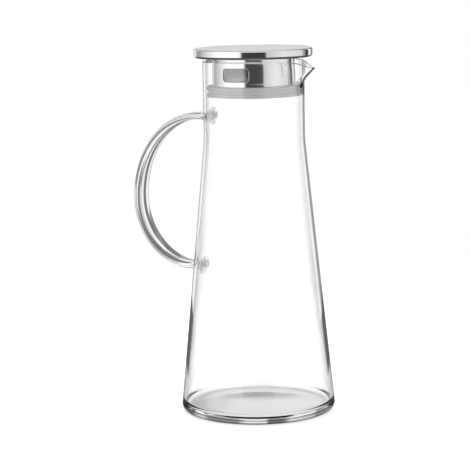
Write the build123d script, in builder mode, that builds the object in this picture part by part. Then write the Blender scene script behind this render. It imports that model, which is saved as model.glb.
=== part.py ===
from build123d import *
import os
from math import radians, sin, tan

# Glass carafe with a steel lid, in millimetres.
# Origin: centre of the underside of the base, on the axis of the body.
# +Z up, spout towards +X, handle towards -X, strainer window towards -Y.

os.makedirs("parts", exist_ok=True)

# Glass body
body_height = 276.0
neck_radius = 39.5
neck_height = 62.0
shoulder_blend_radius = 140.0
foot_radius = 61.0
heel_radius = 5.5
glass_wall = 2.5
base_thickness = 5.5
inner_heel_radius = 4.5

# Spout, a V pulled out of the rim, whose keel runs down into the neck
spout_reach = 53.0
spout_drop = 5.0
spout_depth = 20.5
spout_half_angle = 30.0
spout_tip_radius = 2.8
spout_channel_radius = 1.2
spout_blend_radius = 3.5
channel_blend_radius = 2.5

# Handle, a flat strap bent in two quarter ellipses, whose depths are below the rim
handle_reach = 102.6
handle_top_depth = 44.1
handle_grip_depth = 110.5
handle_bottom_depth = 163.5
handle_top_root = 7.5
handle_bottom_root = 5.0
strap_width = 20.0
strap_thickness = 5.7
strap_edge_radius = 2.5
weld_width = 18.5
weld_height = 14.0
weld_corner_radius = 6.0
weld_flare = 4.0

# Lid cap, drawn from sheet, with its edge turned under
lid_radius = 46.0
lid_gap = 2.5
cap_height = 7.0
cap_sheet = 0.8
cap_edge_radius = 1.3
cap_roll_radius = 1.7
cap_lip_width = 3.0
underplate_sheet = 0.8
plate_clearance = 0.1

# Sleeve under the lid, with two windows and a rolled seat for the seal
sleeve_radius = 32.0
sleeve_sheet = 0.8
window_width = 21.2
window_height = 10.4
window_corner_radius = 2.8
window_above_seal = 4.1
seat_depth = 1.6
seat_flare = 1.2

# Seal, a soft ring with two lips that wipe the neck, whose depth is below the rim
seal_depth = 19.2
seal_height = 8.1
seal_lip_thickness = 2.6
seal_groove_depth = 1.3
seal_edge_round = 0.8
seal_neck_clearance = 0.3
seal_running_clearance = 0.06
seal_end_clearance = 0.15

# Strainer, a thin plate with square holes behind one window
strainer_sheet = 0.5
strainer_margin = 2.4
strainer_corner_radius = 2.0
hole_size = 1.0
hole_pitch = 1.6

# Cutting solids reach this far past what they cut
overrun = 6.0

# Worked out from the sizes above
shoulder_height = body_height - neck_height
bore_radius = neck_radius - glass_wall
cone_slope = (foot_radius - neck_radius) / shoulder_height
floor_radius = foot_radius - cone_slope * base_thickness - glass_wall
lid_underside = body_height + lid_gap
lid_top = lid_underside + cap_height
plate_underside = lid_underside + cap_sheet
sleeve_bore_radius = sleeve_radius - sleeve_sheet
seal_top_height = body_height - seal_depth
seal_bottom_height = seal_top_height - seal_height
window_centre_height = seal_top_height + window_above_seal + window_height / 2

# Outside of the body without its spout, as a solid
with BuildPart() as body_outside:
    with BuildSketch(Plane.XZ) as outside_profile:
        with BuildLine():
            Polyline(
                (0, 0),
                (foot_radius, 0),
                (neck_radius, shoulder_height),
                (neck_radius, body_height),
                (0, body_height),
                close=True,
            )
        make_face()
        fillet(outside_profile.vertices().sort_by(Axis.X)[-1], heel_radius)
        shoulder = outside_profile.vertices().filter_by_position(
            Axis.Y, shoulder_height, shoulder_height
        )
        fillet(shoulder, shoulder_blend_radius)
    revolve(axis=Axis.Z)

# Hollow of the body, up through the mouth
with BuildPart() as body_hollow:
    with BuildSketch(Plane.XZ) as hollow_profile:
        with BuildLine():
            Polyline(
                (0, base_thickness),
                (floor_radius, base_thickness),
                (bore_radius, shoulder_height),
                (bore_radius, body_height + overrun),
                (0, body_height + overrun),
                close=True,
            )
        make_face()
        fillet(hollow_profile.vertices().sort_by(Axis.X)[-1], inner_heel_radius)
        shoulder = hollow_profile.vertices().filter_by_position(
            Axis.Y, shoulder_height, shoulder_height
        )
        fillet(shoulder, shoulder_blend_radius)
    revolve(axis=Axis.Z)

# The V of the spout keeps its angle and slides outwards as it climbs the keel
keel_foot = body_height - spout_depth
keel_slope = (spout_reach - neck_radius) / (spout_depth - spout_drop)
keel_direction = Vector(keel_slope, 0, 1)
keel_length = spout_depth * keel_direction.length
v_sine = sin(radians(spout_half_angle))
v_tangent = tan(radians(spout_half_angle))


def spout_wedge(rounded_x, tip_radius, length):
    """A V with a rounded end, which stands at rounded_x at the keel's foot."""
    point_x = rounded_x + tip_radius / v_sine - tip_radius
    half_width = point_x * v_tangent
    with BuildPart() as wedge:
        with BuildSketch(Plane.XY.offset(keel_foot)) as section:
            with BuildLine():
                Polyline((point_x, 0), (0, half_width), (0, -half_width), close=True)
            make_face()
            fillet(section.vertices().sort_by(Axis.X)[-1], tip_radius)
        extrude(amount=length, dir=keel_direction)
    return wedge.part


def with_spout(round_form, wedge, blend_radius):
    """The round form and the wedge as one solid, with the creases between them blended."""
    with BuildPart() as form:
        add(round_form)
        add(wedge)
        edges = form.edges().filter_by(GeomType.ELLIPSE) + form.edges().filter_by(GeomType.BSPLINE)
        creases = edges.filter_by_position(Axis.Z, keel_foot, body_height + overrun)
        fillet(creases.filter_by(lambda edge: edge.center().X > 0), blend_radius)
    return form.part


channel_x = neck_radius - glass_wall * keel_direction.length
channel_wedge = spout_wedge(channel_x, spout_channel_radius, keel_length + overrun)
outer_wedge = spout_wedge(neck_radius, spout_tip_radius, keel_length)

# Glass body: heavy base, tapered wall, neck and a spout whose lip dips towards its tip
lip_start = bore_radius - glass_wall / 2
lip_slope = spout_drop / (spout_reach - lip_start)
lip_end = spout_reach + overrun
with BuildPart() as glass_body:
    add(with_spout(body_outside.part, outer_wedge, spout_blend_radius))
    add(with_spout(body_hollow.part, channel_wedge, channel_blend_radius), mode=Mode.SUBTRACT)
    with BuildSketch(Plane.XZ) as above_lip:
        with BuildLine():
            Polyline(
                (lip_start, body_height),
                (lip_end, body_height - lip_slope * (lip_end - lip_start)),
                (lip_end, body_height + overrun),
                (lip_start, body_height + overrun),
                close=True,
            )
        make_face()
    extrude(amount=neck_radius, both=True, mode=Mode.SUBTRACT)
glass_body.part.label = "glass_body"
export_step(glass_body.part, "parts/glass_body.step")

# Handle: the strap's centre line is two quarter ellipses that meet at the grip
handle_top_height = body_height - handle_top_depth
handle_grip_height = body_height - handle_grip_depth
handle_bottom_height = body_height - handle_bottom_depth
top_reach = neck_radius + handle_top_root
bottom_wall = foot_radius - cone_slope * handle_bottom_height
bottom_reach = bottom_wall + handle_bottom_root
with BuildPart() as handle:
    with BuildLine(Plane.XZ) as centre_line:
        EllipticalCenterArc(
            (-top_reach, handle_grip_height),
            handle_reach - top_reach,
            handle_top_height - handle_grip_height,
            start_angle=90,
            arc_size=90,
        )
        EllipticalCenterArc(
            (-bottom_reach, handle_grip_height),
            handle_reach - bottom_reach,
            handle_grip_height - handle_bottom_height,
            start_angle=180,
            arc_size=90,
        )
    strap_top = Plane((-top_reach, 0, handle_top_height), x_dir=(0, 1, 0), z_dir=(-1, 0, 0))
    strap_bottom = Plane((-bottom_reach, 0, handle_bottom_height), x_dir=(0, 1, 0), z_dir=(-1, 0, 0))
    with BuildSketch(strap_top):
        RectangleRounded(strap_width, strap_thickness, strap_edge_radius)
    sweep(path=centre_line.line)
    for end, root_length in ((strap_top, handle_top_root), (strap_bottom, handle_bottom_root)):
        flare_start = weld_flare - root_length
        with BuildSketch(end):
            RectangleRounded(strap_width, strap_thickness, strap_edge_radius)
        extrude(amount=flare_start)
        with BuildSketch(end.offset(flare_start)):
            RectangleRounded(strap_width, strap_thickness, strap_edge_radius)
        with BuildSketch(end.offset(-root_length - glass_wall)):
            RectangleRounded(weld_width, weld_height, weld_corner_radius)
        loft()
    add(body_outside.part, mode=Mode.SUBTRACT)
handle.part.label = "handle"
export_step(handle.part, "parts/handle.step")

# Lid cap: a shallow drawn pan, upside down, with its edge rolled under
with BuildPart() as lid_cap:
    with BuildSketch(Plane.XZ) as cap_profile:
        with BuildLine():
            Polyline(
                (0, lid_top),
                (lid_radius, lid_top),
                (lid_radius, lid_underside),
                (lid_radius - cap_lip_width, lid_underside),
                (lid_radius - cap_lip_width, plate_underside),
                (lid_radius - cap_sheet, plate_underside),
                (lid_radius - cap_sheet, lid_top - cap_sheet),
                (0, lid_top - cap_sheet),
                close=True,
            )
        make_face()
        outer_corners = cap_profile.vertices().sort_by(Axis.X)[-2:].sort_by(Axis.Y)
        fillet(outer_corners[0], cap_roll_radius)
        fillet(outer_corners[1], cap_edge_radius)
        inner_corners = cap_profile.vertices().filter_by_position(
            Axis.X, lid_radius - cap_sheet, lid_radius - cap_sheet
        ).sort_by(Axis.Y)
        fillet(inner_corners[0], cap_roll_radius - cap_sheet)
        fillet(inner_corners[-1], cap_edge_radius - cap_sheet)
    revolve(axis=Axis.Z)
lid_cap.part.label = "lid_cap"
export_step(lid_cap.part, "parts/lid_cap.step")

# Underplate: closes the pan and rests on its rolled edge
plate_radius = lid_radius - cap_roll_radius - plate_clearance
with BuildPart() as lid_underplate:
    with BuildSketch(Plane.XY.offset(plate_underside)):
        Circle(plate_radius)
    extrude(amount=underplate_sheet)
lid_underplate.part.label = "lid_underplate"
export_step(lid_underplate.part, "parts/lid_underplate.step")

# Pour sleeve: a tube whose foot steps in to a seat for the seal and flares below it
seat_radius = sleeve_radius - seat_depth
flare_radius = seat_radius + seat_flare
seat_top = seal_top_height + seal_end_clearance
seat_bottom = seal_bottom_height + seal_lip_thickness
with BuildPart() as pour_sleeve:
    with BuildSketch(Plane.XZ):
        with BuildLine():
            Polyline(
                (sleeve_radius, plate_underside),
                (sleeve_radius, seat_top),
                (seat_radius, seat_top),
                (seat_radius, seat_bottom),
                (flare_radius, seat_bottom - seat_flare),
                (flare_radius - sleeve_sheet, seat_bottom - seat_flare),
                (seat_radius - sleeve_sheet, seat_bottom),
                (seat_radius - sleeve_sheet, seat_top + sleeve_sheet),
                (sleeve_bore_radius, seat_top + sleeve_sheet),
                (sleeve_bore_radius, plate_underside),
                close=True,
            )
        make_face()
    revolve(axis=Axis.Z)
    with BuildSketch(Plane.XZ) as window:
        with Locations((0, window_centre_height)):
            RectangleRounded(window_width, window_height, window_corner_radius)
    extrude(amount=sleeve_radius + overrun, both=True, mode=Mode.SUBTRACT)
pour_sleeve.part.label = "pour_sleeve"
export_step(pour_sleeve.part, "parts/pour_sleeve.step")

# Strainer: a curved plate against the sleeve's bore, with square holes across the window
columns = int((window_width - hole_pitch) / hole_pitch)
rows = int((window_height - hole_pitch / 2) / hole_pitch)
with BuildPart() as strainer:
    with BuildSketch(Plane.XY.offset(window_centre_height)):
        Circle(sleeve_bore_radius)
        Circle(sleeve_bore_radius - strainer_sheet, mode=Mode.SUBTRACT)
    extrude(amount=window_height, both=True)
    with BuildSketch(Plane.XZ):
        with Locations((0, window_centre_height)):
            RectangleRounded(
                window_width + 2 * strainer_margin,
                window_height + 2 * strainer_margin,
                strainer_corner_radius,
            )
    extrude(amount=sleeve_radius, mode=Mode.INTERSECT)
    with BuildSketch(Plane.XZ):
        with Locations((0, window_centre_height)):
            with GridLocations(hole_pitch, hole_pitch, columns, rows):
                Rectangle(hole_size, hole_size)
    extrude(amount=sleeve_radius, mode=Mode.SUBTRACT)
strainer.part.label = "strainer"
export_step(strainer.part, "parts/strainer.step")

# Seal ring: two rounded lips with a groove between them, on the sleeve's seat
ring_radius = bore_radius - seal_neck_clearance
ring_bore = seat_radius + seal_running_clearance
ring_foot_bore = flare_radius + seal_end_clearance
ring_foot_top = seat_bottom + seal_end_clearance
groove_radius = ring_radius - seal_groove_depth
with BuildPart() as seal_ring:
    with BuildSketch(Plane.XZ) as ring_profile:
        with BuildLine():
            Polyline(
                (ring_bore, seal_top_height),
                (ring_radius, seal_top_height),
                (ring_radius, seal_top_height - seal_lip_thickness),
                (groove_radius, seal_top_height - seal_lip_thickness),
                (groove_radius, seal_bottom_height + seal_lip_thickness),
                (ring_radius, seal_bottom_height + seal_lip_thickness),
                (ring_radius, seal_bottom_height),
                (ring_foot_bore, seal_bottom_height),
                (ring_foot_bore, ring_foot_top + ring_bore - ring_foot_bore),
                (ring_bore, ring_foot_top),
                close=True,
            )
        make_face()
        lip_corners = ring_profile.vertices().filter_by_position(Axis.X, ring_radius, ring_radius)
        fillet(lip_corners, seal_edge_round)
    revolve(axis=Axis.Z)
seal_ring.part.label = "seal_ring"
export_step(seal_ring.part, "parts/seal_ring.step")
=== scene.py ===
import math

import bmesh
import bpy
import numpy as np
from mathutils import Matrix, Vector


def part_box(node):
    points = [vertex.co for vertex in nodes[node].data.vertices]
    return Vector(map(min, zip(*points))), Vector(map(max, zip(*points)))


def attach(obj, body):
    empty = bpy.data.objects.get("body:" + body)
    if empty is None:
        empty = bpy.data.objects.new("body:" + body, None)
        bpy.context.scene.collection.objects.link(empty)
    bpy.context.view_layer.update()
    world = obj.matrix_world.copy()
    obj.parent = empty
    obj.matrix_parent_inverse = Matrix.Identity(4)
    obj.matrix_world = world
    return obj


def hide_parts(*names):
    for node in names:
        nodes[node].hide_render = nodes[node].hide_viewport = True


# The looks of a glass carafe with a steel lid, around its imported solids.
# Lengths are in millimetres until make_piece() writes a mesh in metres.
# +X is the spout's side and -X the handle's, and the strainer faces -Y.

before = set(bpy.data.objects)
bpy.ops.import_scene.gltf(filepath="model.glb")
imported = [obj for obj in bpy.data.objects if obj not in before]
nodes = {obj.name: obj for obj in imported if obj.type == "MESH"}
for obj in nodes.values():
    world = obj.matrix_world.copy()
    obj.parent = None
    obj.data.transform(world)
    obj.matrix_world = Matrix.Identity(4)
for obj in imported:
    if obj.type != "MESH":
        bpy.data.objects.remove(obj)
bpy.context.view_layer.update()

MILLIMETRE = 0.001
NEAR = 0.01  # a point this close to a plane lies on it, in millimetres
ARC_STEP = math.radians(6)  # an arc's points turn by at most this
FEWEST_STEPS = 5  # an arc has at least as many steps


def node_box(name):
    """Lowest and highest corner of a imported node, in millimetres."""
    return [np.array(corner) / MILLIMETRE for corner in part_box(name)]


# Sizes of the glass body
foot_radius = 61.0
heel_radius = 5.5
neck_radius = 39.5
neck_height = 62.0
shoulder_blend_radius = 140.0
glass_wall = 2.5
base_thickness = 5.5
inner_heel_radius = 4.5
kick_height = 1.4
kick_radius = 52.0
floor_crown = 0.8

# Sizes of the spout, a V that slides outwards as it climbs its keel
spout_reach = 53.0
spout_drop = 5.0
spout_depth = 18.0
spout_half_angle = math.radians(30)
spout_tip_radius = 2.8
spout_wall = 1.25
thinning_below = 10.0
thinning_rise = 12.0
keel_foot_radius = 12.0
keel_power = 1.5
lip_power = 0.45
spout_blend = 5.5
narrowest_blend = 0.01
fade_start = math.radians(24)
fade_end = math.radians(75)
spout_zone_depth = 31.0

# The body's grid: columns, in degrees from the spout, and rows up the spout and round the lip
fine_reach = 36
fine_step = 0.45
coarse_columns = 200
climb_rows = 34
lip_rows = (2, 6, 12, 20, 30, 45, 60, 78, 90, 102, 120, 135, 150, 160, 168, 174, 178)
lip_height_steps = 20

# Sizes of the handle's strap, whose depths are below the rim
handle_reach = 102.6
handle_top_depth = 44.1
handle_grip_depth = 110.5
handle_bottom_depth = 163.5
handle_top_root = 7.5
handle_bottom_root = 5.0
strap_width = 20.0
strap_thickness = 5.7
strap_squareness = 2.5
weld_width = 18.5
weld_height = 14.0
weld_squareness = 2.3
weld_flare = 4.5
weld_gap = 0.04

# The strap's grid: points round its section, and rows along a quarter bend, a root and a weld's cap
section_points = 72
bend_rows = 60
root_rows = 13
weld_rows = (0, 0.25, 0.5, 0.75, 0.93)

# Sizes of the lid's cap
cap_sheet = 0.8
cap_edge_radius = 1.3
cap_roll_radius = 2.0
cap_lip_width = 3.0
cap_lip_round = 0.3
cap_crown = 0.15
cap_columns = 220

# Sizes of the seal, and how far it stays off the sleeve's seat
seal_lip_thickness = 2.6
seal_groove_depth = 1.3
seal_groove_slope = 0.4
seal_groove_round = 0.6
seal_edge_round = 0.9
seal_bore_gap = 0.06
seal_bore_round = 0.5
seal_flare_gap = 0.15
seal_flare_height = 1.5
seal_foot_round = 0.4
seal_columns = 200

# Sizes of the pour sleeve, its stepped seat for the seal and its windows
sleeve_sheet = 0.8
sleeve_foot_height = 1.6
seat_depth = 1.6
seat_flare = 1.2
seat_round = 0.4
seat_gap = 0.05
seat_edge_round = 0.12
step_bore_round = 0.1
flare_round = 0.2
skirt_lift = 0.2
window_width = 21.2
window_height = 10.4
window_corner_radius = 2.8
window_above_seal = 4.1
window_edge_round = 0.35

# The sleeve's grid round a window: points on its sides, rings by share of the way and by distance
window_across = 56
window_up = 26
window_margin = 1.2
window_spread = (1, 0.8, 0.6, 0.4, 0.25, 0.12, 0)
window_rings = (0.8, window_edge_round + 0.15)
window_edge_rows = 6

# Sizes of the strainer, a thin plate with square holes
strainer_sheet = 0.5
strainer_gap = 0.02
strainer_margin = 2.4
strainer_corner_radius = 2.0
hole_pitch = 0.8
hole_size = 0.5

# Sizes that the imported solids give
cap_low, cap_high = node_box("lid_cap")
seal_low, seal_high = node_box("seal_ring")
sleeve_high = node_box("pour_sleeve")[1]
body_height = node_box("glass_body")[1][2]
lid_radius = cap_high[0]
lid_underside = cap_low[2]
lid_top = cap_high[2]
seal_radius = seal_high[0]
seal_bottom = seal_low[2]
seal_top = seal_high[2]
sleeve_radius = sleeve_high[0]
sleeve_top = sleeve_high[2]

# Worked out from the sizes above
bore_radius = neck_radius - glass_wall
shoulder_height = body_height - neck_height
wall_slope = (foot_radius - neck_radius) / shoulder_height
keel_foot = body_height - spout_depth
keel_rise = spout_depth - spout_drop
thinning_start = keel_foot - thinning_below
lip_start = bore_radius - glass_wall / 2
sleeve_bore = sleeve_radius - sleeve_sheet
seat_radius = sleeve_radius - seat_depth
window_middle = seal_top + window_above_seal + window_height / 2


# Making a mesh


def make_piece(name, points, faces, smooth):
    """An object at the origin, from points in millimetres and faces, all turned outwards."""
    mesh = bpy.data.meshes.new(name)
    mesh.from_pydata((points * MILLIMETRE).tolist(), [], faces)
    turned = bmesh.new()
    turned.from_mesh(mesh)
    bmesh.ops.recalc_face_normals(turned, faces=turned.faces)
    turned.to_mesh(mesh)
    turned.free()
    mesh.polygons.foreach_set("use_smooth", np.full(len(mesh.polygons), smooth))
    made = bpy.data.objects.new(name, mesh)
    bpy.context.scene.collection.objects.link(made)
    return made


def skin(name, *grids):
    """A smooth piece over grids of points, whose columns close on themselves.

    Each grid is an array of rows, columns and x, y, z, in millimetres, and each of its cells is a face.
    Points within a thousandth of a millimetre become one vertex, which joins the grids to each other,
    closes a grid whose last row repeats its first, and makes a pole of a row that is one point. A face
    that loses a side this way becomes a triangle, and one that loses two goes.
    """
    corners = []
    for grid in grids:
        low, high = grid[:-1], grid[1:]
        cells = np.stack([low, np.roll(low, -1, 1), np.roll(high, -1, 1), high], 2)
        corners.append(cells.reshape(-1, 3))
    corners = np.concatenate(corners)
    rounded = np.round(corners, 3)
    first, place = np.unique(rounded, axis=0, return_index=True, return_inverse=True)[1:]
    faces = place.reshape(-1, 4)
    repeats = (faces == np.roll(faces, -1, 1)).sum(1)
    quads = faces[repeats == 0].tolist()
    triangles = [list(dict.fromkeys(face)) for face in faces[repeats == 1].tolist()]
    return make_piece(name, corners[first], quads + triangles, smooth=True)


def rounded_profile(corners, longest=8.0, support=0.3):
    """Points along a profile whose corners are arcs.

    corners holds (radius, height, rounding) for each corner. An arc touches both runs at its corner: its
    ends lie rounding times the tangent of half the turn away, and its points turn evenly about its
    centre. Runs are cut into equal lengths of at most longest, and a long one gets a point at the
    distance support from each end, so that it shades flat.
    """
    place = np.array([corner[:2] for corner in corners], float)
    roundings = [corner[2] for corner in corners]
    points = [place[0]]
    for before, here, after, rounding in zip(place, place[1:], place[2:], roundings[1:]):
        into, out = (here - before), (after - here)
        into, out = into / np.linalg.norm(into), out / np.linalg.norm(out)
        turn = math.atan2(into[0] * out[1] - into[1] * out[0], into @ out)
        side = math.copysign(1.0, turn)
        normal = np.array([-into[1], into[0]]) * side
        start = here - into * rounding * math.tan(abs(turn) / 2)
        steps = max(FEWEST_STEPS, math.ceil(abs(turn) / ARC_STEP))
        angle = np.linspace(0, abs(turn), steps + 1)[:, None]
        arc = start + rounding * (normal * (1 - np.cos(angle)) + into * np.sin(angle))
        points.extend(arc if rounding else [here])
    points.append(place[-1])
    filled = [points[:1]]
    for here, after in zip(points, points[1:]):
        length = np.linalg.norm(after - here)
        cuts = np.linspace(0, 1, max(1, math.ceil(length / longest)) + 1)
        if length > 6 * support:
            cuts = np.union1d(cuts, [support / length, 1 - support / length])
        filled.append(here + (after - here) * cuts[1:, None])
    return np.concatenate(filled)


def even_turn(columns):
    """Angles once round the axis, evenly spaced."""
    return np.linspace(0, math.tau, columns, endpoint=False)


def revolved(profile, angle):
    """A profile of (radius, height) turned about the axis: x = radius cos a and y = radius sin a."""
    radius, height = profile[:, :1], profile[:, 1:]
    return np.stack([radius * np.cos(angle), radius * np.sin(angle), height + 0 * angle], 2)


def smooth_step(value, start, end):
    """0 up to start and 1 past end. Between them it is 3 t^2 - 2 t^3, with t the share of the way."""
    share = np.clip((value - start) / (end - start), 0, 1)
    return share * share * (3 - 2 * share)


def unit(vectors):
    """Each vector of a grid, made one long."""
    return vectors / np.linalg.norm(vectors, axis=-1, keepdims=True)


# The glass body


def smooth_larger(first, second, width):
    """The larger of two values, with a parabola where they differ by less than width."""
    near = np.clip(1 - np.abs(first - second) / width, 0, 1)
    return np.maximum(first, second) + near * near * width / 4


def v_radius(angle, rounded_x, tip_radius):
    """How far from the axis a V with a rounded tip reaches, in the direction angle.

    The tip is a circle that reaches rounded_x, and its radius may differ from point to point. A ray
    meets it at c cos a + sqrt(t^2 - c^2 sin^2 a), with c its centre and t its radius. Past the point of
    tangency it meets the side, at p sin h / sin(a + h), with p the V's sharp point and h its half angle.
    """
    away = np.abs(angle)
    sine, cosine = math.sin(spout_half_angle), math.cos(spout_half_angle)
    centre = rounded_x - tip_radius
    point = centre + tip_radius / sine
    tangency = np.arctan2(tip_radius * cosine, centre + tip_radius * sine)
    inside = np.maximum(tip_radius**2 - (centre * np.sin(away)) ** 2, 0)
    tip = centre * np.cos(away) + np.sqrt(inside)
    nearest = math.pi / 2 - spout_half_angle
    side = point * sine / np.sin(np.minimum(away, nearest) + spout_half_angle)
    return np.where(away < tangency, tip, side)


def spout_surface(angle, height):
    """Radius of the neck's outer wall with its spout.

    It is the larger of the round wall and a V that moves out with height. The V's keel is a straight
    slope, whose rounding shrinks as it climbs, by a power of the share of the way left. Where the two
    differ by less than a width w, they blend by w t^2 / 4, with t the share of w left, and w shrinks to
    nothing past the V's sides.
    """
    share = (height - keel_foot) / keel_rise
    keel = neck_radius + (spout_reach - neck_radius) * share
    rounding = (keel_foot_radius - spout_tip_radius) * np.clip(1 - share, 0, 1) ** keel_power
    v = v_radius(angle, keel, spout_tip_radius + rounding)
    width = spout_blend * (1 - smooth_step(np.abs(angle), fade_start, fade_end))
    return smooth_larger(neck_radius, v, np.maximum(width, narrowest_blend))


def lip_height(angle):
    """Height at which the outer wall meets the lip, found by repeated steps.

    It is level, and dips along the spout by its drop times 3 t^2 - 2 t^3, t being the way out.
    """
    level = body_height - glass_wall / 2
    height = np.full_like(angle, level)
    for _ in range(lip_height_steps):
        reach = spout_surface(angle, height) * np.cos(angle)
        height = level - spout_drop * smooth_step(reach, lip_start, spout_reach)
    return height


def dome(radius):
    """1 on the axis and 0 from the kick's radius k outwards, as (1 - (r / k)^2)^2."""
    return np.clip(1 - (radius / kick_radius) ** 2, 0, 1) ** 2


def body_grid():
    """The body's outer wall, rolled lip and inner wall, as rows from its underside to its floor.

    Below the spout's zone both walls are profiles turned about the axis, and dome() lifts the middle of
    the underside and of the floor. Above, each column of the outer wall climbs from the zone's foot to
    the lip in even steps. The inner wall is the outer one moved inwards by the glass's thickness along
    its normal, the cross product of its two tangents. The glass is evenly thin over the whole spout: it
    thins from below the keel's foot upwards, and back to full over the angles at which the blend fades.
    The lip is a half superellipse: the two walls' mean, plus half their difference times a power of cos
    a, plus half the thickness times that power of sin a along the outer wall's climb.
    """
    near_spout = np.radians(np.arange(-fine_reach, fine_reach, fine_step))
    elsewhere = np.radians(np.linspace(fine_reach, 360 - fine_reach, coarse_columns, endpoint=False))
    angle = np.concatenate([near_spout, elsewhere])
    angle = np.where(angle > math.pi, angle - math.tau, angle)
    zone_foot = body_height - spout_zone_depth
    outside = rounded_profile([
        (0, 0, 0),
        (foot_radius, 0, heel_radius),
        (neck_radius, shoulder_height, shoulder_blend_radius),
        (neck_radius, zone_foot, 0),
    ])
    outside[:, 1] += kick_height * dome(outside[:, 0]) * (outside[:, 1] < NEAR)
    bottom_radius = foot_radius - wall_slope * base_thickness - glass_wall
    inside = rounded_profile([
        (bore_radius, zone_foot, 0),
        (bore_radius, shoulder_height, shoulder_blend_radius),
        (bottom_radius, base_thickness, inner_heel_radius),
        (0, base_thickness, 0),
    ])
    inside[:, 1] += floor_crown * dome(inside[:, 0]) * (inside[:, 1] < base_thickness + NEAR)
    climb = np.linspace(0, 1, climb_rows)[:, None]
    height = zone_foot + (lip_height(angle) - zone_foot) * climb
    radius = spout_surface(angle, height)
    outer = np.stack([radius * np.cos(angle), radius * np.sin(angle), height], 2)
    around = unit(np.roll(outer, -1, 1) - np.roll(outer, 1, 1))
    upward = unit(np.gradient(outer, axis=0))
    thinned = smooth_step(height, thinning_start, thinning_start + thinning_rise)
    thinned = thinned * (1 - smooth_step(np.abs(angle), fade_start, fade_end))
    wall = (glass_wall - (glass_wall - spout_wall) * thinned)[:, :, None]
    inner = outer - unit(np.cross(around, upward)) * wall
    roll = np.radians(lip_rows)[:, None, None]
    across = np.sign(np.cos(roll)) * np.abs(np.cos(roll)) ** lip_power
    rise = np.sin(roll) ** lip_power
    middle, half = (outer[-1] + inner[-1]) / 2, (outer[-1] - inner[-1]) / 2
    lip = middle + half * across + upward[-1] * wall[-1] / 2 * rise
    below, floor = revolved(outside, angle), revolved(inside, angle)
    return np.concatenate([below, outer[1:], lip, inner[:0:-1], floor])


# The handle's strap


def evenly_spaced(curve, count):
    """A closed curve's points, spaced evenly along its length."""
    closed = np.vstack([curve, curve[:1]])
    along = np.concatenate([[0], np.cumsum(np.linalg.norm(np.diff(closed, axis=0), axis=1))])
    wanted = np.linspace(0, along[-1], count, endpoint=False)
    return np.stack([np.interp(wanted, along, closed[:, k]) for k in range(2)], 1)


def super_ellipse(width, thickness, squareness):
    """A flat rounded section, its points evenly spaced.

    Each coordinate is its half size times cos a or sin a to the power 2 / squareness, sign kept.
    """
    angle = even_turn(20 * section_points)
    wave = np.stack([np.cos(angle), np.sin(angle)], 1)
    curve = np.sign(wave) * np.abs(wave) ** (2 / squareness) * [width / 2, thickness / 2]
    return evenly_spaced(curve, section_points)


def wall_x(y, z):
    """The outer wall's x on the handle's side, a hair outside the glass: -sqrt(radius^2 - y^2)."""
    radius = np.maximum(neck_radius, foot_radius - wall_slope * z)
    return -np.sqrt(radius**2 - y**2) - weld_gap


def strap_root(z, length, reach):
    """The cap that lies on the wall, and the rings from there out to the strap's end.

    A ring's section goes from the weld's to the strap's as the square of the way left to the flare's
    end, and its x goes evenly from the wall to the end. The cap is the first ring drawn in to its
    middle, on the wall.
    """
    weld = super_ellipse(weld_width, weld_height, weld_squareness)
    strap = super_ellipse(strap_width, strap_thickness, strap_squareness)
    rows = []
    for share in weld_rows:
        y, height = weld[:, 0] * share, z + weld[:, 1] * share
        rows.append(np.stack([wall_x(y, height), y, height], 1))
    for share in np.linspace(0, 1, root_rows, endpoint=False):
        flare = max(0, 1 - share * length / weld_flare) ** 2
        section = strap + (weld - strap) * flare
        y, height = section[:, 0], z + section[:, 1]
        x = wall_x(y, height) * (1 - share) - reach * share
        rows.append(np.stack([x, y, height], 1))
    return np.array(rows)


def strap_grid():
    """The handle's strap: its section carried along two quarter ellipses, between two roots.

    The ellipses meet at the grip, and each is centre + (swing cos a, rise sin a). The section's width
    stays across the handle, and its thickness stands square to the line, so at the bottom it has turned
    over and the root's columns run backwards.
    """
    depths = (handle_top_depth, handle_grip_depth, handle_bottom_depth)
    top, grip, bottom = (body_height - depth for depth in depths)
    top_reach = neck_radius + handle_top_root
    bottom_reach = foot_radius - wall_slope * bottom + handle_bottom_root
    y, thickness = super_ellipse(strap_width, strap_thickness, strap_squareness).T
    rows = [strap_root(top, handle_top_root, top_reach)]
    upper = (top_reach, top - grip, 90, bend_rows)
    lower = (bottom_reach, grip - bottom, 180, bend_rows + 1)
    for root, rise, start, count in (upper, lower):
        angle = np.radians(start + np.arange(count) * 90 / bend_rows)
        swing = handle_reach - root
        x, z = -root + swing * np.cos(angle), grip + rise * np.sin(angle)
        outward = unit(np.stack([rise * np.cos(angle), swing * np.sin(angle)], 1))
        rows.append(np.stack([
            x[:, None] + outward[:, :1] * thickness,
            y + 0 * x[:, None],
            z[:, None] + outward[:, 1:] * thickness,
        ], 2))
    foot = strap_root(bottom, handle_bottom_root, bottom_reach)[::-1]
    rows.append(np.roll(foot[:, ::-1], 1, 1))
    return np.concatenate(rows)


# The lid and the seal


def cap_grid():
    """The lid's cap: a shallow turned pan, its edge rolled under and its top slightly crowned."""
    inner_wall = lid_radius - cap_sheet
    lip = lid_radius - cap_lip_width
    plate = lid_underside + cap_sheet
    profile = rounded_profile([
        (0, lid_top, 0),
        (lid_radius, lid_top, cap_edge_radius),
        (lid_radius, lid_underside, cap_roll_radius),
        (lip, lid_underside, cap_lip_round),
        (lip, plate, cap_lip_round),
        (inner_wall, plate, cap_roll_radius - cap_sheet),
        (inner_wall, lid_top - cap_sheet, cap_edge_radius - cap_sheet),
        (0, lid_top - cap_sheet, 0),
    ], longest=4)
    edge = np.clip(profile[:, 0] / (lid_radius - cap_edge_radius), 0, 1)
    profile[:, 1] -= cap_crown * edge**2 * (profile[:, 1] > lid_top - NEAR)
    return revolved(profile, even_turn(cap_columns))


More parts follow.
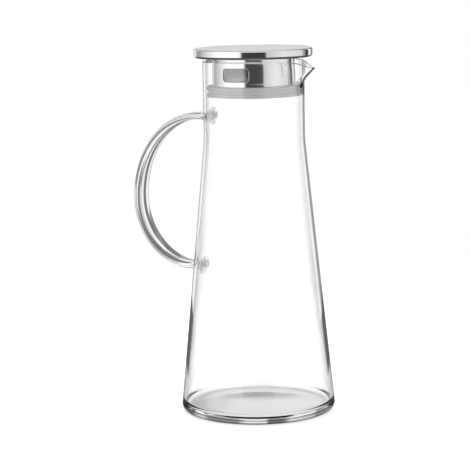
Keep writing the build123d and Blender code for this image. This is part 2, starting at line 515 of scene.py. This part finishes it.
def seal_grid():
    """The seal: two soft lips with a hollow between them, as one closed section turned about the axis."""
    middle = (seal_top + seal_bottom) / 2
    bore = seat_radius + seal_bore_gap
    flare = seat_radius + seat_flare + seal_flare_gap
    flare_top = seal_bottom + seal_flare_height
    groove = seal_radius - seal_groove_depth
    upper_lip, lower_lip = seal_top - seal_lip_thickness, seal_bottom + seal_lip_thickness
    profile = rounded_profile([
        (bore, middle, 0),
        (bore, seal_top, seal_bore_round),
        (seal_radius, seal_top, seal_edge_round),
        (seal_radius, upper_lip, seal_edge_round),
        (groove, upper_lip - seal_groove_slope, seal_groove_round),
        (groove, lower_lip + seal_groove_slope, seal_groove_round),
        (seal_radius, lower_lip, seal_edge_round),
        (seal_radius, seal_bottom, seal_edge_round),
        (flare, seal_bottom, seal_foot_round),
        (flare, flare_top, flare_round),
        (bore, flare_top + seat_flare, flare_round),
        (bore, middle, 0),
    ], longest=2)
    return revolved(profile, even_turn(seal_columns))


def window_outline(grown):
    """The window's rounded rectangle grown all round, as x and height at matching places.

    A corner's arc is shared by the two sides beside it, half each, and a fifth of a side's points lie on
    each of its halves. Points are even in angle on an arc and in length on a run.
    """
    radius = window_corner_radius + grown
    x, z = window_width / 2 + grown - radius, window_height / 2 + grown - radius
    corners = [(x, -z), (x, z), (-x, z), (-x, -z)]
    middles = np.radians([0, 90, 180, 270])
    counts = (window_up, window_across, window_up, window_across)
    sides = []
    for here, after, middle, count in zip(corners, corners[1:] + corners[:1], middles, counts):
        bend = count // 5
        run = count - 2 * bend
        angle = np.concatenate([
            np.linspace(middle - math.pi / 4, middle, bend, endpoint=False),
            np.full(run, middle),
            np.linspace(middle, middle + math.pi / 4, bend + 1)[1:],
        ])
        share = np.concatenate([np.zeros(bend), np.linspace(0, 1, run), np.ones(bend)])
        side_x = here[0] + (after[0] - here[0]) * share + radius * np.cos(angle)
        side_z = here[1] + (after[1] - here[1]) * share + radius * np.sin(angle)
        sides.append(np.stack([side_x, side_z], 1)[:-1])
    return np.concatenate(sides)


def half_tube_border(low, high):
    """The half tube's border as angle and height, at places that match the window's outline."""
    square = math.pi / 2
    upright, across = np.linspace(low, high, window_up), np.linspace(square, -square, window_across)
    return np.concatenate([
        np.stack([np.full(window_up - 1, square), upright[:-1]], 1),
        np.stack([across[:-1], np.full(window_across - 1, high)], 1),
        np.stack([np.full(window_up - 1, -square), upright[:0:-1]], 1),
        np.stack([across[:0:-1], np.full(window_across - 1, low)], 1),
    ])


def half_tube(low, high):
    """Half of the sleeve's tube, spread round its window: rows from its border in, and back out.

    Between the border and a margin round the window, angle and height go evenly. Nearer the window, x
    and height come from the outline grown by the distance to it, and y = -sqrt(radius^2 - x^2). The
    window's rounded edge takes distance r (1 - sin a) and depth r (1 - cos a).
    """
    border = half_tube_border(low, high)

    def spread(share, radius):
        x, height = window_outline(window_margin).T
        near = np.stack([np.arcsin(x / radius), window_middle + height], 1)
        angle, z = (near + (border - near) * share).T
        return np.stack([radius * np.sin(angle), -radius * np.cos(angle), z], 1)

    def ring(grown, radius):
        x, height = window_outline(grown).T
        return np.stack([x, -np.sqrt(radius**2 - x**2), window_middle + height], 1)

    def wall(radius, inwards):
        rows = [spread(share, radius) for share in window_spread]
        rows += [ring(grown, radius) for grown in window_rings]
        for a in np.radians(np.linspace(0, 90, window_edge_rows)):
            depth = window_edge_round * (1 - math.cos(a))
            rows.append(ring(window_edge_round * (1 - math.sin(a)), radius - inwards * depth))
        return rows

    return np.array(wall(sleeve_radius, 1) + wall(sleeve_bore, -1)[::-1])


def sleeve_grids():
    """The pour sleeve: two half tubes, each with a window, over a turned foot and under a turned top.

    The foot steps in to the seal's seat, and flares out to a short skirt behind the seal's lower lip.
    """
    low, high = seal_top + sleeve_foot_height, sleeve_top
    half = half_tube(low, high)
    angle = np.linspace(0, math.pi, window_across)[:-1]
    angle = np.concatenate([angle, angle + math.pi])
    seat_bore, flare = seat_radius - sleeve_sheet, seat_radius + seat_flare
    seat_top, seat_foot = seal_top + seat_gap, seal_bottom + seal_lip_thickness
    flare_top, skirt_foot = seat_foot - seat_flare, seal_bottom + skirt_lift
    foot = rounded_profile([
        (sleeve_radius, low, 0),
        (sleeve_radius, seat_top, seat_edge_round),
        (seat_radius, seat_top, seat_round),
        (seat_radius, seat_foot, seat_round),
        (flare, flare_top, flare_round),
        (flare, skirt_foot, flare_round),
        (flare - sleeve_sheet, skirt_foot, flare_round),
        (flare - sleeve_sheet, flare_top, flare_round),
        (seat_bore, seat_foot, seat_round),
        (seat_bore, seat_top + sleeve_sheet, seat_round),
        (sleeve_bore, seat_top + sleeve_sheet, step_bore_round),
        (sleeve_bore, low, 0),
    ], longest=3, support=0.1)
    rim = np.array([(sleeve_radius, high), (sleeve_bore, high)])
    return half, half * [-1, -1, 1], revolved(foot, angle), revolved(rim, angle)


def strainer_lines(length, field):
    """Positions of a plate's grid lines: its two ends, and both sides of each hole across its field."""
    count = int((field + hole_pitch - hole_size) / hole_pitch)
    middles = (np.arange(count) - (count - 1) / 2) * hole_pitch
    edges = np.sort(np.concatenate([middles - hole_size / 2, middles + hole_size / 2]))
    return np.concatenate([[-length / 2], edges, [length / 2]])


def strainer_screen():
    """The strainer: a curved plate with square holes, behind the window that faces -Y.

    Its grid lines run along both sides of each hole. A cell whose column and row are both a hole's has
    no face on the plate's two sides, and each edge between such a cell, or the plate's surroundings, and
    the plate has a wall. The plate's corners are drawn in to arcs, and y = -sqrt(radius^2 - x^2).
    """
    length, height = window_width + 2 * strainer_margin, window_height + 2 * strainer_margin
    across, up = strainer_lines(length, window_width), strainer_lines(height, window_height)
    x, z = np.meshgrid(across, up, indexing="ij")
    bend_x, bend_z = length / 2 - strainer_corner_radius, height / 2 - strainer_corner_radius
    over_x, over_z = np.maximum(np.abs(x) - bend_x, 0), np.maximum(np.abs(z) - bend_z, 0)
    drawn = np.minimum(1, strainer_corner_radius / np.maximum(np.hypot(over_x, over_z), 1e-9))
    x = np.where(over_x > 0, np.sign(x) * (bend_x + over_x * drawn), x)
    z = np.where(over_z > 0, np.sign(z) * (bend_z + over_z * drawn), z)
    sides = []
    for radius in (sleeve_bore - strainer_gap, sleeve_bore - strainer_sheet):
        sides.append(np.stack([x, -np.sqrt(radius**2 - x**2), window_middle + z], 2))
    points = np.concatenate([side.reshape(-1, 3) for side in sides])
    front = np.arange(x.size).reshape(x.shape)
    back = front + x.size
    hole = np.zeros((len(across) + 1, len(up) + 1), bool)
    hole[2:-2:2, 2:-2:2] = True
    plate = np.zeros_like(hole)
    plate[1:-1, 1:-1] = ~hole[1:-1, 1:-1]
    cell = plate[1:-1, 1:-1]
    faces = []
    for grid in (front, back):
        quads = np.stack([grid[:-1, :-1], grid[1:, :-1], grid[1:, 1:], grid[:-1, 1:]], 2)
        faces.append(quads[cell])
    beside = plate[:-1, 1:-1] != plate[1:, 1:-1]
    quads = np.stack([front[:, :-1], front[:, 1:], back[:, 1:], back[:, :-1]], 2)
    faces.append(quads[beside])
    beside = plate[1:-1, :-1] != plate[1:-1, 1:]
    quads = np.stack([front[:-1, :], front[1:, :], back[1:, :], back[:-1, :]], 2)
    faces.append(quads[beside])
    return make_piece("strainer_screen", points, np.concatenate(faces).tolist(), smooth=False)


# Writing a finish as expressions


def grey(level):
    """A colour whose three parts are alike."""
    return (level, level, level, 1)


class Value:
    """A socket of a node tree, so that shader maths is written as Python expressions."""

    def __init__(self, shader, socket):
        self.shader, self.socket = shader, socket

    def maths(self, operation, *inputs):
        return self.shader.node("ShaderNodeMath", {"operation": operation}, dict(enumerate(inputs)))

    def __add__(self, other):
        return self.maths("ADD", self, other)

    __radd__ = __add__

    def __mul__(self, other):
        return self.maths("MULTIPLY", self, other)

    __rmul__ = __mul__

    def __sub__(self, other):
        return self.maths("SUBTRACT", self, other)

    def __rsub__(self, other):
        return self.maths("SUBTRACT", other, self)

    def __truediv__(self, other):
        return self.maths("DIVIDE", self, other)

    def __rtruediv__(self, other):
        return self.maths("DIVIDE", other, self)

    def __pow__(self, other):
        return self.maths("POWER", self, other)

    def __neg__(self):
        return self * -1

    def larger(self, other):
        return self.maths("MAXIMUM", self, other)

    def more_than(self, level):
        """1 where the value is more than level, and 0 elsewhere."""
        return self.maths("GREATER_THAN", self, level)

    def above(self, edge, softness):
        """0 below edge and 1 above it, over softness either side."""
        return self.shader.node(
            "ShaderNodeMapRange",
            {"interpolation_type": "SMOOTHSTEP"},
            {"Value": self, "From Min": edge - softness, "From Max": edge + softness},
        )


class Shader:
    """The node tree of a material or a world."""

    def __init__(self, owner):
        owner.use_nodes = True
        self.tree = owner.node_tree
        self.tree.nodes.clear()

    def node(self, kind, settings=None, inputs=None, output=0):
        """Adds a node, sets it up, feeds its sockets, and returns one of its outputs."""
        made = self.tree.nodes.new(kind)
        for name, value in (settings or {}).items():
            if name == "stops":
                elements = made.color_ramp.elements
                while len(elements) < len(value):
                    elements.new(0.5)
                for element, (place, level) in zip(elements, value):
                    element.position = place
                    element.color = grey(level)
            else:
                setattr(made, name, value)
        for name, value in (inputs or {}).items():
            if isinstance(value, Value):
                self.tree.links.new(value.socket, made.inputs[name])
            else:
                made.inputs[name].default_value = value
        return Value(self, made.outputs[output])

    def outputs(self, value, names):
        """Several outputs of the node that a value comes from."""
        return [Value(self, value.socket.node.outputs[name]) for name in names]

    def coordinates(self, kind):
        """The three numbers of a texture coordinate. Object coordinates are in metres."""
        place = self.node("ShaderNodeTexCoord", output=kind)
        return self.outputs(self.node("ShaderNodeSeparateXYZ", inputs={0: place}), range(3))

    def vector(self, x, y, z):
        return self.node("ShaderNodeCombineXYZ", inputs={0: x, 1: y, 2: z})

    def noise(self, vector, scale, detail=2.0, roughness=0.5):
        return self.node("ShaderNodeTexNoise", inputs={
            "Vector": vector, "Scale": scale, "Detail": detail, "Roughness": roughness,
        })

    def bump(self, height, distance):
        return self.node("ShaderNodeBump", inputs={"Height": height, "Distance": distance, "Strength": 1.0})

    def blend(self, share, first, second):
        """A colour between two colours, by share."""
        return self.node("ShaderNodeMix", {"data_type": "RGBA"}, {0: share, 6: first, 7: second}, output=2)

    def finish(self, closure, kind="ShaderNodeOutputMaterial"):
        """Links a closure to the tree's output."""
        out = self.tree.nodes.new(kind)
        self.tree.links.new(closure.socket, out.inputs["Surface"])

    def light_path(self):
        """What a ray has done, as 0 or 1: it left the eye, sees plain white, was bent or was mirrored.

        A ray that has crossed more than two glass surfaces without being mirrored has passed the body's
        walls, and sees plain white. So does one that lights a matt surface.
        """
        path = self.node("ShaderNodeLightPath")
        rays = ("Is Camera Ray", "Is Glossy Ray", "Is Transmission Ray")
        depths = ("Glossy Depth", "Transmission Depth", "Diffuse Depth")
        camera, glossy, through = self.outputs(path, rays)
        mirrored, crossed, diffused = self.outputs(path, depths)
        passed = through * (1 - mirrored.more_than(0)) * crossed.more_than(2)
        plain = passed.larger(diffused.more_than(0))
        return camera, plain, through * (1 - plain), glossy * (1 - through) * (1 - plain)


def new_material(name):
    made = bpy.data.materials.new(name)
    return made, Shader(made)


def from_axis(x, y):
    """A point's distance from the carafe's axis, as shader maths."""
    return (x * x + y * y) ** 0.5


# Finishes. A noise's scale is in cycles a metre, a bump's depth in metres, a tone from 0 to 1.
# A squeeze is how much slower a pattern changes along its lines than across them.
glass_ior = 1.47
glass_tone = 0.99
# Painted shade at the glass's outlines: the tint that glass takes where the eye grazes it
body_edge_painted_shade = 0.86
strap_edge_painted_shade = 0.8
painted_edge_facing = 0.84
painted_edge_softness = 0.14
wave_scale = 45.0
wave_squeeze = 0.35
body_wave_depth = 0.00001
strap_wave_depth = 0.0

# The cloudy welds, whose reach from the wall is in millimetres
weld_reach = 1.0
weld_fade = 0.4
weld_tone = 0.97
weld_roughness = 0.4
weld_cloud = 0.3
weld_mottle = 0.6
# The welds' faint white glow is painted light
weld_painted_glow = 0.4
mottle_scale = 560.0
mottle_softness = 0.16

# The lid's steel, brushed on top, with a polished rim. The top's darker tone is painted shade
steel_line_depth = 0.000004
cap_rim_tone = 0.76
cap_top_painted_shade_tone = 0.52
cap_rim_roughness = 0.08
cap_top_roughness = 0.16
cap_cloud_roughness = 0.03
cap_cloud_scale = 60.0
hairline_scale = 5200.0
hairline_squeeze = 0.02
hairline_contrast = 0.5
rim_line_scale = 6000.0
rim_line_height = 0.25
cap_top_depth = 0.5
cap_top_fade = 0.2

# Steel turned around the axis
turned_line_scale = 5000.0
turned_line_squeeze = 0.01
turned_band_scale = 500.0
turned_band_squeeze = 0.05
turned_band_contrast = 0.07
turned_line_roughness = 0.06

# The seal's silicone
silicone_ior = 1.41
silicone_clarity = 0.4
silicone_pale = (1.0, 1.0, 0.98, 1)
silicone_clouded = (0.95, 0.95, 0.93, 1)
silicone_roughness = 0.1
silicone_cloud_scale = 90.0
grain_scale = 1500.0
grain_depth = 0.00001


def clear_glass(name, edge_painted_shade, wave_depth, welded=False):
    """Clear glass, faintly wavy, with painted shade where the eye grazes it: its tint darkens there, for
    the dark outline of a wall seen on edge.

    Welded glass is clouded and mottled close to the body's wall, the larger of its cone and neck, and there
    it also glows faintly white, which is painted light.
    """
    material, shader = new_material(name)
    x, y, z = shader.coordinates("Object")
    waves = shader.noise(shader.vector(x, y, z * wave_squeeze), wave_scale, detail=1.0)
    facing = shader.node("ShaderNodeLayerWeight", inputs={"Blend": 0.5}, output="Facing")
    # Painted shade: the tint darkens at glancing angles, for the dark outlines of walls seen on edge
    tone = shader.blend(facing.above(painted_edge_facing, painted_edge_softness), grey(glass_tone), grey(edge_painted_shade))
    closure = shader.node("ShaderNodeBsdfPrincipled", inputs={
        "Base Color": tone,
        "Roughness": 0.0,
        "IOR": glass_ior,
        "Transmission Weight": 1.0,
        "Normal": shader.bump(waves, wave_depth),
    })
    if welded:
        cone = foot_radius * MILLIMETRE - z * wall_slope
        off_wall = from_axis(x, y) - cone.larger(neck_radius * MILLIMETRE)
        seam = 1 - off_wall.above(weld_reach * MILLIMETRE, weld_fade * MILLIMETRE)
        mottle = shader.noise(shader.vector(x, y, z), mottle_scale).above(0.5, mottle_softness)
        # The cloud emits a faint white glow: painted light that brightens the weld as if light scattered
        # inside it
        cloud = shader.node("ShaderNodeBsdfPrincipled", inputs={
            "Base Color": grey(weld_tone),
            "Roughness": weld_roughness,
            "Emission Color": grey(1.0),
            "Emission Strength": weld_painted_glow,
        })
        share = seam * (weld_cloud + mottle * weld_mottle)
        closure = shader.node("ShaderNodeMixShader", inputs={0: share, 1: closure, 2: cloud})
    shader.finish(closure)
    return material


def cap_steel():
    """Stainless steel: straight hairlines across the top, and a polished rim with faint turned lines. The
    top is painted a darker tone than the rim, as shade.
    """
    material, shader = new_material("cap_steel_brushed_top_shaded")
    x, y, z = shader.coordinates("Object")
    top = z.above((lid_top - cap_top_depth) * MILLIMETRE, cap_top_fade * MILLIMETRE)
    along = shader.vector(x * hairline_squeeze, y, z * hairline_squeeze)
    hairlines = shader.noise(along, hairline_scale, detail=3.0, roughness=0.6)
    around = shader.vector(x * turned_line_squeeze, y * turned_line_squeeze, z)
    turned = shader.noise(around, rim_line_scale)
    cloud = shader.noise(shader.vector(x, y, z), cap_cloud_scale)
    # Painted shade: the top takes a darker tone than the rim, streaked by the real hairlines
    hairlines_and_painted_shade = top * (1 - hairline_contrast / 2 + hairlines * hairline_contrast)
    height = hairlines * top + turned * (1 - top) * rim_line_height
    closure = shader.node("ShaderNodeBsdfPrincipled", inputs={
        "Base Color": shader.blend(hairlines_and_painted_shade, grey(cap_rim_tone), grey(cap_top_painted_shade_tone)),
        "Metallic": 1.0,
        "Roughness": cap_rim_roughness + top * cap_top_roughness + cloud * cap_cloud_roughness,
        "Normal": shader.bump(height, steel_line_depth),
    })
    shader.finish(closure)
    return material


def turned_steel(name, tone, roughness):
    """Stainless steel with fine lines and faint bands turned around the axis."""
    material, shader = new_material(name)
    x, y, z = shader.coordinates("Object")
    around = shader.vector(x * turned_line_squeeze, y * turned_line_squeeze, z)
    lines = shader.noise(around, turned_line_scale, detail=3.0, roughness=0.6)
    broader = shader.vector(x * turned_band_squeeze, y * turned_band_squeeze, z)
    bands = shader.noise(broader, turned_band_scale)
    closure = shader.node("ShaderNodeBsdfPrincipled", inputs={
        "Base Color": shader.blend(bands, grey(tone), grey(tone * (1 - turned_band_contrast))),
        "Metallic": 1.0,
        "Roughness": roughness + lines * turned_line_roughness,
        "Normal": shader.bump(lines, steel_line_depth),
    })
    shader.finish(closure)
    return material


def silicone():
    """Pale translucent silicone with a satin surface, which lets the steel behind it show dimly."""
    material, shader = new_material("silicone_pale")
    place = shader.vector(*shader.coordinates("Object"))
    grain = shader.noise(place, grain_scale)
    cloud = shader.noise(place, silicone_cloud_scale)
    closure = shader.node("ShaderNodeBsdfPrincipled", inputs={
        "Base Color": shader.blend(cloud, silicone_pale, silicone_clouded),
        "Roughness": silicone_roughness + grain * silicone_roughness,
        "IOR": silicone_ior,
        "Transmission Weight": silicone_clarity,
        "Normal": shader.bump(grain, grain_depth),
    })
    shader.finish(closure)
    return material


# The studio: what the metal mirrors and the glass bends, by the angle round the carafe.
# Each stop is an angle in degrees to the right of the studio's front, and a brightness.

view_azimuth = math.radians(27)
studio_panels = (
    (-180, 1.0),
    (-177, 1.0),
    (-176, 0.18),
    (-167, 0.18),
    (-165, 1.0),
    (-147, 1.0),
    (-145.5, 0.38),
    (-128, 0.46),
    (-115, 0.7),
    (-93, 1.05),
    (-75, 1.32),
    (-30, 1.32),
    (-25.5, 1.1),
    (-22.5, 0.055),
    (22.5, 0.055),
    (25.5, 0.75),
    (60, 1.02),
    (108, 0.88),
    (112, 0.46),
    (118, 0.42),
    (122, 0.06),
    (132.5, 0.06),
    (136, 1.15),
    (146, 1.15),
    (149, 0.32),
    (169, 0.32),
    (172, 1.0),
    (180, 1.0),
)
plain_white = 1.18

# Heights in the studio are sines of the angle above the horizon, and a sector is the cosine
# of the angle from its middle
ceiling_height = 0.8
ceiling_softness = 0.1
flag_sector = 0.87
flag_sector_softness = 0.05
flag_height = 0.13
flag_softness = 0.08
above_flag = 0.85
table_dip = 0.2
table_softness = 0.03
table_sector = 0.5
table_sector_softness = 0.15
table_in_glass = 0.15
table_in_metal = 0.1
mat_in_glass = 0.85

# The floor, with a pale mat round the carafe's foot
floor_radius = 600.0
floor_ring = 300.0
floor_thickness = 1.0
floor_columns = 96
floor_tone = 0.8
floor_glow_seen = 0.35
floor_glow_plain = 0.4
mat_radius = 200.0
mat_softness = 20.0


def studio_front(x, y):
    """How far a point lies to the studio's front, the side from which the carafe is photographed."""
    return x * math.sin(view_azimuth) - y * math.cos(view_azimuth)


def light_studio():
    """A white studio with dark flags round it, whose panels the metal mirrors.

    The panels' brightness goes by the angle round the axis. The flag in front ends a little above the
    horizon, under a pale wall, and all fade into a white ceiling. Below the horizon is a table: dark
    where the metal mirrors it, and where glass bends it, dark in the sector behind the carafe and a pale
    mat elsewhere. What is seen directly, or straight through the body's walls, is plain white.
    """
    world = bpy.data.worlds.new("studio")
    bpy.context.scene.world = world
    shader = Shader(world)
    x, y, z = shader.coordinates("Generated")
    right = x * math.cos(view_azimuth) + y * math.sin(view_azimuth)
    front = studio_front(x, y)
    ahead = front / from_axis(x, y)
    turn = right.maths("ARCTAN2", right, front) / math.tau + 0.5
    stops = [(angle / 360 + 0.5, level) for angle, level in studio_panels]
    panels = shader.node("ShaderNodeValToRGB", {"stops": stops}, {"Fac": turn})
    camera, plain, bent, _ = shader.light_path()
    over_flag = z.above(flag_height, flag_softness) * ahead.above(flag_sector, flag_sector_softness)
    below = (-z).above(table_dip, table_softness)
    behind = (-ahead).above(table_sector, table_sector_softness)
    table = shader.blend(behind, grey(mat_in_glass), grey(table_in_glass))
    studio = shader.blend(over_flag, panels, grey(above_flag))
    studio = shader.blend(z.above(ceiling_height, ceiling_softness), studio, grey(1.0))
    studio = shader.blend(below * bent, studio, table)
    studio = shader.blend(below * (1 - bent), studio, grey(table_in_metal))
    studio = shader.blend(plain, studio, grey(plain_white))
    studio = shader.blend(camera, studio, grey(1.0))
    light = shader.node("ShaderNodeBackground", inputs={"Color": studio})
    shader.finish(light, "ShaderNodeOutputWorld")


def lay_floor():
    """A white disc to stand on, which keeps the carafe's shadow.

    Metal mirrors it as a dark table. Where glass bends it, it is a pale mat near the carafe, and past
    the mat the same dark table in the sector behind the carafe.
    """
    profile = np.array([
        (0, 0),
        (floor_ring, 0),
        (floor_radius, 0),
        (floor_radius, -floor_thickness),
        (0, -floor_thickness),
    ])
    floor = skin("floor", revolved(profile, even_turn(floor_columns)))
    material, shader = new_material("floor_white")
    camera, plain, bent, mirrored = shader.light_path()
    white = shader.node("ShaderNodeBsdfDiffuse", inputs={"Color": grey(floor_tone)})
    glow = shader.node("ShaderNodeEmission", inputs={
        "Color": camera * floor_glow_seen + plain * floor_glow_plain,
        "Strength": 1.0,
    })
    lit = shader.node("ShaderNodeAddShader", inputs={0: white, 1: glow})
    x, y, _ = shader.coordinates("Object")
    radius = from_axis(x, y)
    behind = (-studio_front(x, y) / radius).above(table_sector, table_sector_softness)
    past_mat = radius.above(mat_radius * MILLIMETRE, mat_softness * MILLIMETRE)
    in_glass = mat_in_glass - past_mat * behind * (mat_in_glass - table_in_glass)
    table = shader.node("ShaderNodeEmission", inputs={
        "Color": bent * in_glass + mirrored * table_in_metal,
        "Strength": 1.0,
    })
    shader.finish(shader.node("ShaderNodeMixShader", inputs={0: bent + mirrored, 1: lit, 2: table}))
    floor.data.materials.append(material)


# The camera, fitted to the photograph: its place in the picture's own right, away and up
camera_right = -16.53
camera_away = -1494.2
camera_up = 364.6
camera_pitch = math.radians(8.58)
camera_roll = math.radians(-0.997)
picture_width = 470
focal_pixels = 1923.28
sensor_width = 36.0
nearest_seen = 0.1
furthest_seen = 20


def place_camera():
    """A camera at the photograph's viewpoint, pitched down and rolled about its own line of sight."""
    data = bpy.data.cameras.new("camera")
    data.sensor_width = sensor_width
    data.lens = focal_pixels / picture_width * sensor_width
    data.clip_start = nearest_seen
    data.clip_end = furthest_seen
    camera = bpy.data.objects.new("camera", data)
    bpy.context.scene.collection.objects.link(camera)
    turn = Matrix.Rotation(view_azimuth, 4, "Z")
    look = Matrix.Rotation(math.pi / 2 - camera_pitch, 4, "X") @ Matrix.Rotation(camera_roll, 4, "Z")
    place = Matrix.Translation(Vector((camera_right, camera_away, camera_up)) * MILLIMETRE)
    camera.matrix_world = turn @ place @ look
    bpy.context.scene.camera = camera


def dress(piece, material, body=None, node=None):
    """Gives a piece its material, and a new piece its body, and hides the node that it stands for."""
    piece.data.materials.clear()
    piece.data.materials.append(material)
    if body:
        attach(piece, body)
        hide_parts(node)


place_camera()
light_studio()
lay_floor()

body_glass = clear_glass("glass_clear", body_edge_painted_shade, body_wave_depth)
strap_glass = clear_glass("glass_strap", strap_edge_painted_shade, strap_wave_depth, welded=True)
# The sleeve's steel is given a brighter tone than the cap's rim: painted light, making up for what the
# glass walls in front of it take
sleeve_steel = turned_steel("sleeve_steel_turned", tone=0.86, roughness=0.08)
# The strainer's steel is etched, and its far darker tone than the sleeve's is painted shade for the recess
# behind the window
mesh_steel = turned_steel("mesh_steel_etched_shaded", tone=0.36, roughness=0.1)
plate_steel = turned_steel("plate_steel_plain", tone=0.7, roughness=0.2)

dress(skin("carafe_body", body_grid()), body_glass, "carafe", "glass_body")
dress(skin("handle_strap", strap_grid()), strap_glass, "carafe", "handle")
dress(skin("lid_shell", cap_grid()), cap_steel(), "lid", "lid_cap")
dress(skin("sleeve_tube", *sleeve_grids()), sleeve_steel, "lid", "pour_sleeve")
dress(strainer_screen(), mesh_steel, "lid", "strainer")
dress(skin("seal_lips", seal_grid()), silicone(), "seal", "seal_ring")
dress(nodes["lid_underplate"], plate_steel)

scene = bpy.context.scene
scene.view_settings.view_transform = "Standard"
